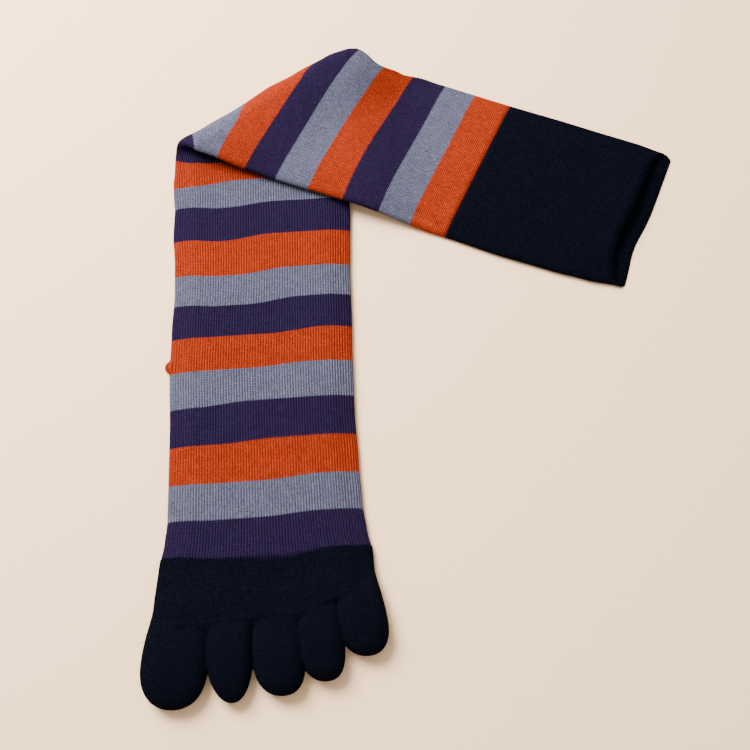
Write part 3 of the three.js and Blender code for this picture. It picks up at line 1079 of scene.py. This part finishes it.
fibres = fibre_tree()
toe_fuzz = in_scene("toes_fuzz", toes_piece.data.copy())
cuff_fuzz = in_scene("cuff_fuzz", cuff.data.copy())
for fuzz, density in ((toe_fuzz, toe_fibres), (cuff_fuzz, cuff_fibres)):
    grow(fuzz, fibres, Density=density, Length=fibre_length, Thickness=fibre_thickness,
         Material=fibre_material)
    print(fuzz.name, triangles(fuzz), "triangles")

# %% [markdown]
# ## Stitches at the roots of the toes
#
# Where the pockets are joined to the toe section, a row of small stitches shows. A line is laid
# over the surface from one side of the foot to the other, and Geometry Nodes sets one short, bent
# stitch after another along it.

# %% Sew the roots
stitch_spacing = 1.5 * mm
stitch_length = 1.1 * mm
stitch_thickness = 0.16 * mm
seam_behind = 0.8 * mm
seam_sink = 0.05 * mm
seam_share = 0.93
seam_points = 80
stitch_wobble = (0.1, 0.15, 0.25)


def seam_line(piece, name):
    """Edges that follow the roots of the toes over the upper face of a piece."""
    skin = BVHTree.FromPolygons(
        [v.co for v in piece.data.vertices], [tuple(p.vertices) for p in piece.data.polygons])
    first, last = slit_points[0, 0], slit_points[-1, 0]
    places = np.linspace(first * seam_share, last * seam_share, seam_points)
    points = []
    for u, s in zip(places, root_line(places) + seam_behind):
        x, y = along * s + across * u
        hit = skin.ray_cast(Vector((x, y, 1.0)), Vector((0, 0, -1)))[0]
        points.append(hit - Vector((0, 0, seam_sink)))
    mesh = bpy.data.meshes.new(name)
    mesh.from_pydata(points, [(i, i + 1) for i in range(seam_points - 1)], [])
    return in_scene(name, mesh)


def stitch_tree():
    tree, inputs = start_tree("Stitches along a line", ("Spacing", "Length", "Thickness"))
    line = node(tree, "GeometryNodeMeshToCurve", [(0, inputs["Geometry"])])
    evenly = node(tree, "GeometryNodeResampleCurve", [
        ("Curve", line.outputs[0]), ("Length", inputs["Spacing"])], mode="LENGTH")
    points = node(tree, "GeometryNodeCurveToPoints", [
        ("Curve", evenly.outputs[0])], mode="EVALUATED").outputs
    a, b, c = stitch_wobble
    wobble = node(tree, "FunctionNodeRandomValue", [
        (0, (-a, math.pi / 2 - b, -c)), (1, (a, math.pi / 2 + b, c)),
    ], data_type="FLOAT_VECTOR").outputs[0]
    tangent = node(tree, "FunctionNodeAlignEulerToVector", [
        ("Vector", points["Tangent"])], axis="X").outputs[0]
    turned = node(tree, "FunctionNodeRotateEuler", [
        ("Rotation", tangent), ("Rotate By", wobble)], space="LOCAL")
    placed = node(tree, "GeometryNodeInstanceOnPoints", [
        ("Points", points["Points"]), ("Instance", curved_hair(tree, inputs)),
        ("Rotation", turned.outputs[0]), ("Scale", inputs["Length"])])
    return end_tree(tree, placed, inputs)


root_stitches = seam_line(toes_piece, "root_stitches")
grow(root_stitches, stitch_tree(), Spacing=stitch_spacing, Length=stitch_length,
     Thickness=stitch_thickness, Material=stitch_material)
print("stitches:", triangles(root_stitches), "triangles")

# %% [markdown]
# ## Into the frame
#
# Everything above was made with the seam between foot and toe section at the origin. The frame puts
# the middle of the sock's footprint there, so all pieces are moved together by one measured step.

# %% Move the pieces onto the solids
seam_in_frame = Vector((-69 * mm, -94.6 * mm, 0.0))
pieces = [striped_leg, cuff, toes_piece, toe_fuzz, cuff_fuzz, root_stitches]
for piece in pieces:
    piece.data.transform(Matrix.Translation(seam_in_frame))
print("moved by", [round(1000 * v, 2) for v in seam_in_frame], "mm")

for piece in pieces:
    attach(piece, "root")
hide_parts("striped_leg")
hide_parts("cuff")
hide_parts("toe_section", *[toe["name"] for toe in toes])

# %% [markdown]
# ## Floor, light and camera
#
# The sock lies on a plain pale floor in soft light from the upper left. The camera looks down at
# 68 degrees, so the sock is seen almost from above, as such things are photographed for sale.

# %% Floor
floor_half = 3.0
pale = colour(249, 208, 165)
floor_corners = [
    (x * floor_half, y * floor_half, 0) for x, y in ((-1, -1), (1, -1), (1, 1), (-1, 1))]
floor_mesh = bpy.data.meshes.new("floor")
floor_mesh.from_pydata(floor_corners, [], [(0, 1, 2, 3)])
floor_material, _, floor_shader = matt_material("pale_floor", roughness=0.95, specular=0.1)
floor_shader.inputs["Base Color"].default_value = pale
floor_mesh.materials.append(floor_material)
floor = in_scene("floor", floor_mesh)
print("floor side:", 2 * floor_half, "m")

# %% Light
room_light = (1.0, 0.98, 0.95, 1.0)
room_strength = 0.9
window_place = (-0.52, 0.47, 0.66)
window_power = 42.0
window_side = 0.6

world = bpy.data.worlds.new("soft_room")
world.use_nodes = True
for socket, value in zip(world.node_tree.nodes["Background"].inputs, (room_light, room_strength)):
    socket.default_value = value
bpy.context.scene.world = world


def aim(item, place, heading):
    """Puts a lamp or a camera at a place and turns it along a heading."""
    item.location = place
    item.rotation_mode = "QUATERNION"
    item.rotation_quaternion = heading.to_track_quat("-Z", "Y")


window = bpy.data.lights.new("window", "AREA")
window.energy = window_power
window.size = window_side
aim(in_scene("window", window), window_place, -Vector(window_place))
print("room light:", room_strength, "window:", window_power, "W")

# %% Camera
view_centre = Vector((-23.10 * mm, -12.65 * mm, 0.0))
camera_distance = 485.4 * mm
camera_height_angle = math.radians(68)
focal_share = 1068 / 750
sensor_width = 36.0
nearest_seen = 10 * mm

camera_data = bpy.data.cameras.new("camera")
camera_data.sensor_width = sensor_width
camera_data.lens = sensor_width * focal_share
camera_data.clip_start = nearest_seen
camera = in_scene("camera", camera_data)
back = Vector((0.0, -math.cos(camera_height_angle), math.sin(camera_height_angle)))
aim(camera, view_centre + back * camera_distance, -back)
bpy.context.scene.camera = camera
print("camera at", [round(1000 * v, 1) for v in camera.location], "mm")
